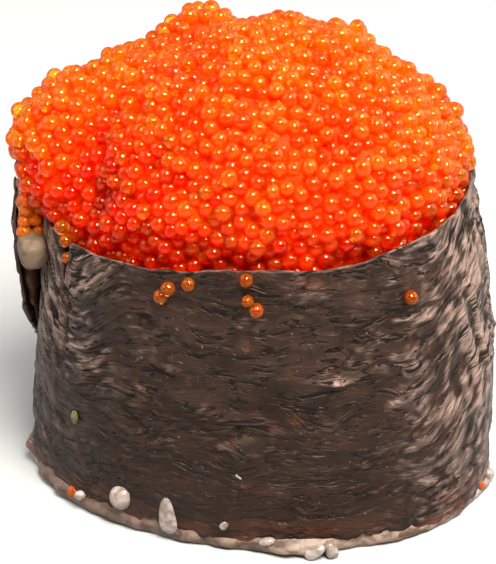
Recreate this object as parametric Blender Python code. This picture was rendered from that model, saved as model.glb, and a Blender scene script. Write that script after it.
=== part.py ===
"""Gunkan sushi: a block of rice in a wrapped strip of dried seaweed, heaped with flying fish roe.

The origin is at the middle of the underside, +Z is up, -Y is the front and +X the right. All sizes below
are in millimetres and all angles in degrees, unless a comment says otherwise.
"""

import math

import bmesh
import bpy
from mathutils import Vector, noise

MM = 0.001

# The plan is a rounded oval. It is longer and rounder at the foot, where it is also turned further about Z,
# and it leans back a little towards the rim. Half way up it bulges and stands a little to the right. The
# foot stands off the origin by what brings the whole to the middle.
FOOT_CENTRE = (0.93, 0.43)
FOOT_HALF_LENGTH = 26.1
FOOT_HALF_DEPTH = 19.1
FOOT_TURN = -12.0
RIM_HALF_LENGTH = 23.6
RIM_HALF_DEPTH = 18.8
RIM_TURN = -6.0
RIM_LEAN = (0.0, 0.45)
FOOT_POWER = 2.03
RIM_POWER = 2.17
WAIST_BULGE = 0.6
WAIST_SWAY = 0.6

# The rim of the seaweed lies in a plane that rises to the right and the back, and waves a little.
RIM_HEIGHT = 36.2
RIM_RISE_RIGHT = 0.096
RIM_RISE_BACK = 0.069
RIM_WAVE = 0.45
TEAR_ANGLE = 209.0
TEAR_HALF_WIDTH = 4.0
TEAR_DEPTH = 5.0

# The hem is the lower edge of the seaweed. It hangs lowest on the right.
HEM_HEIGHT = 1.5
HEM_WAVE = 0.5

# The strip starts at the back left, goes once round and ends as a loose flap over its own start. Its end is
# cut on a slant, so it reaches further at the top than at the foot.
SHEET_THICKNESS = 0.4
STRIP_START = 150.0
STRIP_END = 548.0
LAP_START = 455.0
END_SLANT = 20.0
LAP_OFFSET = 0.55
FLAP_START = 500.0
FLAP_FLARE = 2.9
FLAP_FOOT = 4.0

# The rice fills the wrap and bulges under it in a low lump at the front. The roe starts a little below the
# rim and heaps up over it.
GAP = 0.42
LUMP_ANGLE = 294.0
LUMP_REACH = 17.0
LUMP_OUT = 1.5
ROE_SEAT_DEPTH = 4.2
RIM_CLEARANCE = 0.6
HEAP_HALF_LENGTH = 23.7
HEAP_HALF_DEPTH = 18.5
HEAP_HEIGHT = 18.9
CLUMP_HEIGHT = 1.25
CLUMP_LENGTH = 5.0

# Lobes of the heap: azimuth and elevation from the middle of the rim, height above the even dome, spread.
LOBES = (
    ("left_upper", 170.0, 17.0, 4.4, 11.0),
    ("left_lower", 182.0, 3.0, 3.4, 11.0),
    ("left_notch", 160.0, 27.0, -1.2, 5.0),
    ("crest_left", 127.0, 52.0, 2.6, 7.0),
    ("crest_left_notch", 104.0, 56.0, -0.8, 5.0),
    ("crest_right_notch", 60.0, 54.0, -0.6, 5.0),
    ("crest_right", 45.0, 49.0, 1.7, 6.0),
    ("right_shoulder", 8.0, 14.0, 0.9, 12.0),
    ("front_right", 322.0, 24.0, 1.1, 13.0),
    ("front_middle", 276.0, 16.0, 0.9, 12.0),
    ("front_left", 236.0, 14.0, 0.6, 12.0),
    ("left_crease_upper", 192.0, 32.0, -1.1, 6.0),
    ("left_crease", 201.0, 18.0, -1.2, 6.0),
    ("left_crease_lower", 204.0, 4.0, -1.0, 6.0),
)

RIM_CENTRE = (FOOT_CENTRE[0] + RIM_LEAN[0], FOOT_CENTRE[1] + RIM_LEAN[1])

RING_POINTS = 60
SHEET_COLUMNS = 104
SHEET_ROWS = 8
RICE_WALL_RINGS = 4
HEAP_RINGS = 15


def blend_step(value):
    """A smooth step from 0 to 1 as value goes from 0 to 1."""
    t = min(1.0, max(0.0, value))
    return t * t * (3.0 - 2.0 * t)


def mix(low, high, share):
    return low + (high - low) * share


def rim_plane(x, y):
    """Height of the plane that the rim lies in."""
    return RIM_HEIGHT + RIM_RISE_RIGHT * x + RIM_RISE_BACK * y


def plan_turn(height):
    """How far the oval is turned about Z at a height."""
    return mix(FOOT_TURN, RIM_TURN, height / RIM_HEIGHT)


def plan_point(angle, height, offset=0.0):
    """A point of the wrap's inner face at a polar angle and a height, moved outward by offset."""
    level = height / RIM_HEIGHT
    half_length = mix(FOOT_HALF_LENGTH, RIM_HALF_LENGTH, level)
    half_depth = mix(FOOT_HALF_DEPTH, RIM_HALF_DEPTH, level)
    a = math.radians(angle)
    power = mix(FOOT_POWER, RIM_POWER, level)
    spread = abs(math.cos(a) / half_length) ** power + abs(math.sin(a) / half_depth) ** power
    waist = math.sin(math.pi * min(1.0, max(0.0, level)))
    radius = spread ** (-1.0 / power) + WAIST_BULGE * waist + offset
    turned = a + math.radians(plan_turn(height))
    x = FOOT_CENTRE[0] + RIM_LEAN[0] * level + WAIST_SWAY * waist + radius * math.cos(turned)
    y = FOOT_CENTRE[1] + RIM_LEAN[1] * level + radius * math.sin(turned)
    return x, y


def rim_height(angle):
    """Height of the seaweed's upper edge at a polar angle, with its waves and the tear at the left."""
    x, y = plan_point(angle, RIM_HEIGHT)
    a = math.radians(angle)
    wave = RIM_WAVE * (math.sin(3.0 * a + 0.6) + 0.5 * math.sin(7.0 * a))
    from_tear = abs((angle - TEAR_ANGLE + 180.0) % 360.0 - 180.0)
    tear = TEAR_DEPTH * max(0.0, 1.0 - from_tear / TEAR_HALF_WIDTH)
    return rim_plane(x, y) + wave, tear


def hem_height(angle):
    """Height of the seaweed's lower edge at a polar angle."""
    a = math.radians(angle)
    return HEM_HEIGHT - HEM_WAVE * math.cos(a - 0.4) + 0.3 * HEM_WAVE * math.sin(5.0 * a)


def sheet_offset(angle, height):
    """How far the strip stands out from its first turn: the lap, and the flap that opens at the top."""
    lap = LAP_OFFSET * blend_step((angle - LAP_START) / (STRIP_START + 360.0 - LAP_START))
    along = blend_step((angle - FLAP_START) / (STRIP_END - FLAP_START))
    up = blend_step((height - FLAP_FOOT) / (RIM_HEIGHT - FLAP_FOOT))
    return lap + FLAP_FLARE * along * up


def heap_radius(azimuth, elevation):
    """Distance from the middle of the rim to the heap's surface in one direction."""
    a = math.radians(azimuth)
    e = math.radians(elevation)
    turned = a - math.radians(RIM_TURN)
    along = math.cos(e) * math.cos(turned) / HEAP_HALF_LENGTH
    across = math.cos(e) * math.sin(turned) / HEAP_HALF_DEPTH
    radius = 1.0 / math.sqrt(along**2 + across**2 + (math.sin(e) / HEAP_HEIGHT) ** 2)
    way = Vector((math.cos(e) * math.cos(a), math.cos(e) * math.sin(a), math.sin(e)))
    for _, lobe_azimuth, lobe_elevation, height, spread in LOBES:
        b = math.radians(lobe_azimuth)
        f = math.radians(lobe_elevation)
        lobe = Vector((math.cos(f) * math.cos(b), math.cos(f) * math.sin(b), math.sin(f)))
        apart = math.degrees(way.angle(lobe, 0.0))
        radius += height * math.exp(-0.5 * (apart / spread) ** 2)
    return radius + CLUMP_HEIGHT * noise.noise(way * radius / CLUMP_LENGTH)


def heap_point(azimuth, elevation):
    """A point of the heap's surface."""
    radius = heap_radius(azimuth, elevation)
    a = math.radians(azimuth)
    e = math.radians(elevation)
    x = RIM_CENTRE[0] + radius * math.cos(e) * math.cos(a)
    y = RIM_CENTRE[1] + radius * math.cos(e) * math.sin(a)
    return x, y, RIM_HEIGHT + radius * math.sin(e)


def lowest_elevation(azimuth, height):
    """The elevation at which the heap's surface stands at a height."""
    elevation = 0.0
    for _ in range(8):
        radius = heap_radius(azimuth, elevation)
        elevation = math.degrees(math.asin((height - RIM_HEIGHT) / radius))
    return elevation


def material(name, colour, roughness):
    """A plain material for one node."""
    made = bpy.data.materials.new(name)
    made.use_nodes = True
    shader = made.node_tree.nodes["Principled BSDF"]
    shader.inputs["Base Color"].default_value = (*colour, 1.0)
    shader.inputs["Roughness"].default_value = roughness
    shader.inputs["Metallic"].default_value = 0.0
    return made


def add_object(name, mesh_data, finish):
    """Closes a bmesh into an object of the scene."""
    bmesh.ops.recalc_face_normals(mesh_data, faces=mesh_data.faces)
    mesh = bpy.data.meshes.new(name)
    mesh_data.to_mesh(mesh)
    mesh_data.free()
    mesh.shade_smooth()
    mesh.materials.append(finish)
    placed = bpy.data.objects.new(name, mesh)
    bpy.context.scene.collection.objects.link(placed)
    return placed


def stack_rings(rings, apex=None):
    """A closed bmesh through rings of points, from the lowest up: a flat base, and a cap or an apex."""
    mesh_data = bmesh.new()
    levels = [[mesh_data.verts.new(Vector(p) * MM) for p in ring] for ring in rings]
    count = len(levels[0])
    for low, high in zip(levels, levels[1:]):
        for i in range(count):
            j = (i + 1) % count
            mesh_data.faces.new((low[i], low[j], high[j], high[i]))
    mesh_data.faces.new(reversed(levels[0]))
    if apex is None:
        mesh_data.faces.new(levels[-1])
    else:
        tip = mesh_data.verts.new(Vector(apex) * MM)
        for i in range(count):
            mesh_data.faces.new((levels[-1][i], levels[-1][(i + 1) % count], tip))
    return mesh_data


def ring_angles():
    return [360.0 * i / RING_POINTS for i in range(RING_POINTS)]


def on_rim_plane(angle, offset, drop):
    """A point inside the wrap, drop below the rim's plane."""
    x, y = plan_point(angle, RIM_HEIGHT - drop, offset)
    return x, y, rim_plane(x, y) - drop


def rice_ring(offset, height_at):
    """A level ring of the rice, whose height follows height_at(angle)."""
    ring = []
    for angle in ring_angles():
        height = height_at(angle)
        ring.append((*plan_point(angle, height, offset), height))
    return ring


def lump(angle):
    """How far the low lump at the front stands out at a polar angle."""
    away = abs((angle - LUMP_ANGLE + 180.0) % 360.0 - 180.0)
    return LUMP_OUT * blend_step(1.0 - away / LUMP_REACH)


def bulging_ring(share, overhang):
    """A ring of the strip of rice that shows under the hem, at a share of that strip's height."""
    ring = []
    for angle in ring_angles():
        strip = hem_height(angle) - GAP
        out = overhang * (strip + lump(angle))
        ring.append((*plan_point(angle, strip * share, out), strip * share))
    return ring


def make_rice():
    """The block of rice, flat underneath, with a low bulge that shows below the seaweed."""
    rings = [rice_ring(-0.7, lambda angle: 0.0)]
    rings.append(bulging_ring(0.35, 0.7))
    rings.append(bulging_ring(0.95, 0.0))
    rings.append(rice_ring(-GAP, lambda angle: hem_height(angle) - 0.05))
    top = ROE_SEAT_DEPTH + GAP
    for step in range(1, RICE_WALL_RINGS + 1):
        share = step / RICE_WALL_RINGS
        ring = []
        for angle in ring_angles():
            highest = on_rim_plane(angle, -GAP, top)[2]
            height = mix(hem_height(angle), highest, share)
            ring.append((*plan_point(angle, height, -GAP), height))
        rings.append(ring)
    return add_object("rice", stack_rings(rings), material("rice_white", (0.62, 0.53, 0.44), 0.55))


def make_roe():
    """The heap of roe: seated inside the rim, with lobes that lean out over it."""
    seat = []
    wall = []
    lip = []
    for angle in ring_angles():
        rim, _ = rim_height(angle)
        seat.append(on_rim_plane(angle, -GAP, ROE_SEAT_DEPTH))
        wall.append((*plan_point(angle, rim - 0.5 * ROE_SEAT_DEPTH, -GAP), rim - 0.5 * ROE_SEAT_DEPTH))
        lip.append((*plan_point(angle, rim, -GAP), rim + 0.7 * RIM_CLEARANCE))
    rings = [seat, wall, lip]
    for step in range(HEAP_RINGS):
        ring = []
        for angle in ring_angles():
            azimuth = angle + RIM_TURN
            start = lowest_elevation(azimuth, rim_height(angle)[0] + RIM_CLEARANCE)
            ring.append(heap_point(azimuth, mix(start, 90.0, step / HEAP_RINGS)))
        rings.append(ring)
    heap = stack_rings(rings, apex=heap_point(0.0, 90.0))
    return add_object("roe", heap, material("roe_orange", (0.87, 0.11, 0.01), 0.25))


def slanted(angle, share):
    """The polar angle of a column of the strip at a share of its height, with the slant of the loose end."""
    held_back = END_SLANT * (1.0 - blend_step((share - 0.1) / 0.6))
    return angle - held_back * blend_step((angle - FLAP_START + 20.0) / (STRIP_END - FLAP_START + 20.0))


def make_nori():
    """The seaweed strip as one sheet that is given its thickness outward."""
    mesh_data = bmesh.new()
    columns = []
    for i in range(SHEET_COLUMNS + 1):
        angle = mix(STRIP_START, STRIP_END, i / SHEET_COLUMNS)
        rim, tear = rim_height(angle)
        torn = tear if angle < LAP_START else 0.0
        hem = hem_height(angle)
        column = []
        for j in range(SHEET_ROWS + 1):
            height = mix(hem, rim - torn, j / SHEET_ROWS)
            at = slanted(angle, j / SHEET_ROWS)
            x, y = plan_point(at, height, sheet_offset(at, height))
            column.append(mesh_data.verts.new(Vector((x, y, height)) * MM))
        columns.append(column)
    for near, far in zip(columns, columns[1:]):
        for j in range(SHEET_ROWS):
            mesh_data.faces.new((near[j], far[j], far[j + 1], near[j + 1]))
    sheet = add_object("nori", mesh_data, material("nori_dark", (0.045, 0.032, 0.026), 0.5))
    solidify = sheet.modifiers.new("thickness", "SOLIDIFY")
    solidify.thickness = SHEET_THICKNESS * MM
    solidify.offset = 1.0
    solidify.use_even_offset = True
    return sheet


def main():
    for old in list(bpy.data.objects):
        bpy.data.objects.remove(old)
    make_rice()
    make_nori()
    make_roe()


main()
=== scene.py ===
"""Looks of a gunkan sushi: a seaweed strip round a block of rice, heaped with flying fish roe.

The pieces are modelled in millimetres in the frame's own axes: +Z up, -Y the front, +X the right. Angles of
the wrap's plan are polar angles in degrees, from its long axis at the right, counted as seen from above.
"""

import logging
import math
from dataclasses import dataclass, field
from enum import Enum
from typing import Sequence

import bmesh
import bpy
import numpy as np
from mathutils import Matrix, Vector, kdtree, noise

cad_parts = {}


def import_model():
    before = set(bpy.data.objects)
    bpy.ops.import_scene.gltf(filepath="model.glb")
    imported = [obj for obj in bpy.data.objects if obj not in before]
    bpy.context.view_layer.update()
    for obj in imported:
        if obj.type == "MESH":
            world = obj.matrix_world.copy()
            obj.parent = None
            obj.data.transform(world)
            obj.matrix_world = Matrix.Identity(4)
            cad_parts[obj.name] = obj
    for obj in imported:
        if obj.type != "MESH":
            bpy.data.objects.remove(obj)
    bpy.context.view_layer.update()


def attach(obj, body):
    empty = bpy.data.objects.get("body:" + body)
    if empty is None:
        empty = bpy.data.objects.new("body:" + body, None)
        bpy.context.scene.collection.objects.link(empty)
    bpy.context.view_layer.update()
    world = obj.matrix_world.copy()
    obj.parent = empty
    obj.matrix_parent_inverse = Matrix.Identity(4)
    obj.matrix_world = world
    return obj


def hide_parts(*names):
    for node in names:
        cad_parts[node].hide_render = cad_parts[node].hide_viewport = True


MM = 0.001
BODY = "root"
BALL_VOLUME = 4.19
LOG = logging.getLogger("gunkan")

Array = np.ndarray
Colour = tuple[float, float, float]


def smooth_step(value: Array) -> Array:
    """Eases from 0 to 1.

    Args:
        value: Where the point is, with 0 and 1 as the ends of the step.

    Returns:
        The eased share, held at 0 and 1 outside the step.
    """
    t = np.clip(value, 0.0, 1.0)
    return t * t * (3.0 - 2.0 * t)


def noise_at(points: Array, seed: float = 0.0) -> Array:
    """Reads smooth gradient noise.

    Args:
        points: Rows of three coordinates, already divided by the pattern's length.
        seed: A shift that gives an unrelated pattern.

    Returns:
        One value from about -1 to 1 for each row.
    """
    shift = Vector((seed * 17.3, seed * 5.1, seed * 9.7))
    return np.array([noise.noise(Vector(p) + shift) for p in points])


def strip_noise(along: Array, up: Array, seed: float) -> Array:
    """Noise over the strip laid flat, at places already divided by the pattern's lengths."""
    return noise_at(np.stack([along, up, np.zeros_like(along)], axis=-1), seed=seed)


def turned_from(angle: Array, middle: float) -> Array:
    """How far angles are turned from a middle one, from -180 to 180 degrees."""
    return np.mod(angle - middle + 180.0, 360.0) - 180.0


def mesh_object(name: str, points: Array, faces: Array, finish: bpy.types.Material) -> bpy.types.Object:
    """Makes a smooth shaded object.

    Args:
        name: The piece's name.
        points: Vertices in millimetres, one row each.
        faces: Vertex numbers, one row each of three or four.
        finish: The material of the whole piece.

    Returns:
        The object, linked to the scene.
    """
    mesh = bpy.data.meshes.new(name)
    mesh.from_pydata((points * MM).tolist(), [], faces.tolist())
    mesh.shade_smooth()
    mesh.materials.append(finish)
    piece = bpy.data.objects.new(name, mesh)
    bpy.context.scene.collection.objects.link(piece)
    return piece


def settle(piece: bpy.types.Object, slot: str, *stands_for: str) -> None:
    """Joins a piece to the frame.

    Args:
        piece: The finished piece.
        slot: The record's material slot; not used.
        stands_for: The frame's nodes that it replaces.
    """
    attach(piece, BODY)
    if stands_for:
        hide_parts(*stands_for)
    LOG.info("%s: %d faces", piece.name, len(piece.data.polygons))


@dataclass(frozen=True)
class WrapPlan:
    """The oval that the seaweed follows, from the foot to the rim.

    Sizes are in millimetres and angles in degrees. The foot lies on the floor, and the rim at rim_level.
    """

    foot_centre: tuple[float, float] = (0.93, 0.43)
    foot_half: tuple[float, float] = (26.1, 19.1)
    rim_half: tuple[float, float] = (23.6, 18.8)
    rim_lean: tuple[float, float] = (0.0, 0.45)
    power: tuple[float, float] = (2.03, 2.17)
    foot_turn: float = -12.0
    rim_turn: float = -6.0
    bulge: float = 0.6
    sway: float = 0.6
    rim_level: float = 36.2
    rim_rise: tuple[float, float] = (0.096, 0.069)
    rim_wave: float = 0.45
    hem_level: float = 1.5
    hem_wave: float = 0.5

    def belly(self, level: Array) -> Array:
        """A bow from 0 at the foot, by 1 half way up, to 0 at the rim."""
        return np.sin(np.pi * np.clip(level, 0.0, 1.0))

    def centre(self, height: Array) -> tuple[Array, Array]:
        """Finds the middle of the oval at a height.

        Args:
            height: Heights above the floor.

        Returns:
            Its x and its y.
        """
        level = height / self.rim_level
        x = self.foot_centre[0] + self.rim_lean[0] * level + self.sway * self.belly(level)
        y = self.foot_centre[1] + self.rim_lean[1] * level
        return x, y

    def turn(self, height: Array) -> Array:
        """How far the oval is turned round Z at a height."""
        return self.foot_turn + (self.rim_turn - self.foot_turn) * height / self.rim_level

    def radius(self, angle: Array, height: Array) -> Array:
        """Measures from the middle to the wrap's inner face.

        Args:
            angle: Polar angles.
            height: Heights above the floor.

        Returns:
            The distance at each.
        """
        level = height / self.rim_level
        half_length = self.foot_half[0] + (self.rim_half[0] - self.foot_half[0]) * level
        half_depth = self.foot_half[1] + (self.rim_half[1] - self.foot_half[1]) * level
        power = self.power[0] + (self.power[1] - self.power[0]) * level
        a = np.radians(angle)
        spread = np.abs(np.cos(a) / half_length) ** power + np.abs(np.sin(a) / half_depth) ** power
        return spread ** (-1.0 / power) + self.bulge * self.belly(level)

    def point(self, angle: Array, height: Array, offset: Array) -> Array:
        """Places points on the wrap.

        Args:
            angle: Polar angles.
            height: Heights above the floor.
            offset: How far out from the inner face.

        Returns:
            Rows of x, y and z.
        """
        turned = np.radians(angle + self.turn(height))
        radius = self.radius(angle, height) + offset
        x, y = self.centre(height)
        z = height + 0.0 * radius
        return np.stack([x + radius * np.cos(turned), y + radius * np.sin(turned), z], axis=-1)

    def rim_plane(self, x: Array, y: Array) -> Array:
        """Height of the plane that the rim lies in."""
        return self.rim_level + self.rim_rise[0] * x + self.rim_rise[1] * y

    def rim(self, angle: Array) -> Array:
        """Follows the seaweed's upper edge, without its tear.

        Args:
            angle: Polar angles.

        Returns:
            Its height at each: the plane of the rim with three broad waves and seven small ones.
        """
        at = self.point(angle, np.full_like(angle, self.rim_level), np.zeros_like(angle))
        a = np.radians(angle)
        wave = np.sin(3.0 * a + 0.6) + 0.5 * np.sin(7.0 * a)
        return self.rim_plane(at[..., 0], at[..., 1]) + self.rim_wave * wave

    def hem(self, angle: Array) -> Array:
        """Height of the seaweed's lower edge."""
        a = np.radians(angle)
        return self.hem_level - self.hem_wave * np.cos(a - 0.4) + 0.3 * self.hem_wave * np.sin(5.0 * a)

    def angle_of(self, points: Array) -> Array:
        """Polar angles of points round the oval's middle."""
        x, y = self.centre(points[:, 2])
        return np.degrees(np.arctan2(points[:, 1] - y, points[:, 0] - x)) - self.turn(points[:, 2])


class NodeSketch:
    """Short ways to add the nodes that the finishes share."""

    def __init__(self, material: bpy.types.Material) -> None:
        """Starts from a material's own shader.

        Args:
            material: A material that uses nodes.
        """
        self.nodes = material.node_tree.nodes
        self.links = material.node_tree.links
        self.shader = self.nodes["Principled BSDF"]

    def add(self, kind: str) -> bpy.types.Node:
        """Adds one node."""
        return self.nodes.new(kind)

    def link(self, source: bpy.types.NodeSocket, target: str) -> None:
        """Feeds one of the shader's inputs."""
        self.links.new(source, self.shader.inputs[target])

    def dress(self, settings: dict[str, float | tuple[float, ...]]) -> None:
        """Sets the shader's own inputs, by their names."""
        for name, value in settings.items():
            self.shader.inputs[name].default_value = value

    def noise(
        self,
        place: bpy.types.NodeSocket,
        scale: Sequence[float],
        detail: float,
        distortion: float,
        shift: float = 0.0,
    ) -> bpy.types.NodeSocket:
        """Adds stretched noise.

        Args:
            place: The coordinates.
            scale: Cells to the unit, along each axis.
            detail: How many finer layers it has.
            distortion: How far it swirls.
            shift: Moves it, for an unrelated pattern.

        Returns:
            Its value.
        """
        stretch = self.add("ShaderNodeMapping")
        stretch.inputs["Scale"].default_value = scale
        stretch.inputs["Location"].default_value = (shift, shift, shift)
        self.links.new(place, stretch.inputs["Vector"])
        texture = self.add("ShaderNodeTexNoise")
        texture.inputs["Scale"].default_value = 1.0
        texture.inputs["Detail"].default_value = detail
        texture.inputs["Distortion"].default_value = distortion
        self.links.new(stretch.outputs["Vector"], texture.inputs["Vector"])
        return texture.outputs["Fac"]

    def span(
        self, value: bpy.types.NodeSocket, low: float, high: float, to_low: float = 0.0, to_high: float = 1.0
    ) -> bpy.types.NodeSocket:
        """Maps a value from one range to another, held at its ends.

        Args:
            value: The value.
            low: What becomes to_low. It may be the larger end.
            high: What becomes to_high.
            to_low: The first end of the new range.
            to_high: The other end of the new range.

        Returns:
            The mapped value.
        """
        ranged = self.add("ShaderNodeMapRange")
        ranged.inputs["From Min"].default_value = low
        ranged.inputs["From Max"].default_value = high
        ranged.inputs["To Min"].default_value = to_low
        ranged.inputs["To Max"].default_value = to_high
        self.links.new(value, ranged.inputs["Value"])
        return ranged.outputs["Result"]

    def maths(
        self, operation: str, first: bpy.types.NodeSocket, second: float | bpy.types.NodeSocket
    ) -> bpy.types.NodeSocket:
        """Works a value out from two.

        Args:
            operation: What is done, such as MULTIPLY.
            first: The first value.
            second: The other one, a number or a socket.

        Returns:
            The result.
        """
        node = self.add("ShaderNodeMath")
        node.operation = operation
        self.links.new(first, node.inputs[0])
        if isinstance(second, float):
            node.inputs[1].default_value = second
        else:
            self.links.new(second, node.inputs[1])
        return node.outputs["Value"]

    def product(
        self, first: bpy.types.NodeSocket, second: float | bpy.types.NodeSocket
    ) -> bpy.types.NodeSocket:
        """Multiplies two values."""
        return self.maths("MULTIPLY", first, second)

    def distance(self, value: bpy.types.NodeSocket, middle: float) -> bpy.types.NodeSocket:
        """How far a value is from a middle."""
        away = self.maths("SUBTRACT", value, middle)
        return self.maths("ABSOLUTE", away, 0.0)

    def mix(
        self,
        share: bpy.types.NodeSocket,
        first: Colour | bpy.types.NodeSocket,
        second: Colour | bpy.types.NodeSocket,
    ) -> bpy.types.NodeSocket:
        """Mixes two colours, each a fixed one or a socket.

        Args:
            share: How much of the second colour there is, from 0 to 1.
            first: The first colour.
            second: The second colour.

        Returns:
            The mixed colour.
        """
        blend = self.add("ShaderNodeMix")
        blend.data_type = "RGBA"
        self.links.new(share, blend.inputs["Factor"])
        for name, colour in (("A", first), ("B", second)):
            if isinstance(colour, tuple):
                blend.inputs[name].default_value = (*colour, 1.0)
            else:
                self.links.new(colour, blend.inputs[name])
        return blend.outputs["Result"]

    def bump(
        self,
        height: bpy.types.NodeSocket,
        strength: float,
        depth: float,
        normal: bpy.types.NodeSocket | None = None,
    ) -> bpy.types.NodeSocket:
        """Adds relief.

        Args:
            height: The relief's value.
            strength: Its strength, negative for a hollow.
            depth: Its depth in metres.
            normal: Relief to add it to.

        Returns:
            The bent normal.
        """
        relief = self.add("ShaderNodeBump")
        relief.invert = strength < 0.0
        relief.inputs["Strength"].default_value = abs(strength)
        relief.inputs["Distance"].default_value = depth
        self.links.new(height, relief.inputs["Height"])
        if normal is not None:
            self.links.new(normal, relief.inputs["Normal"])
        return relief.outputs["Normal"]


class Shade(Enum):
    """Lit and shaded copies of one orange roe, with some random tone: painted shade at the seat up to painted
    light at the crest.
    """

    RED = "red"
    VERMILION = "vermilion"
    ORANGE = "orange"
    AMBER = "amber"


@dataclass(frozen=True)
class EggFinish:
    """Wet translucent roe, tinted right through, with an orange gloss and light that spreads inside it."""

    name: str
    bright: Colour
    deep: Colour
    clearness: float = 0.88
    roughness: float = 0.04
    gloss: float = 0.38
    glow: float = 1.0
    gloss_tint: Colour = (1.0, 0.72, 0.44)
    spread: Colour = (1.0, 0.25, 0.06)
    spread_depth: float = 0.9
    bending: float = 1.4

    def build(self) -> bpy.types.Material:
        """Makes the material, mixed from deep to bright by each egg's shade value, which holds random tone
        and, on the heap, painted shade that deepens with depth.

        Returns:
            The material.
        """
        made = bpy.data.materials.new(self.name)
        made.use_nodes = True
        tree = NodeSketch(made)
        shade = tree.add("ShaderNodeAttribute")
        shade.attribute_name = "egg_shade"
        tree.link(tree.mix(shade.outputs["Fac"], self.deep, self.bright), "Base Color")
        tree.dress(
            {
                "Roughness": self.roughness,
                "IOR": self.bending,
                "Specular IOR Level": self.gloss,
                "Specular Tint": (*self.gloss_tint, 1.0),
                "Transmission Weight": self.clearness,
                "Subsurface Weight": self.glow,
                "Subsurface Radius": self.spread,
                "Subsurface Scale": self.spread_depth * MM,
            }
        )
        return made


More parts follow.
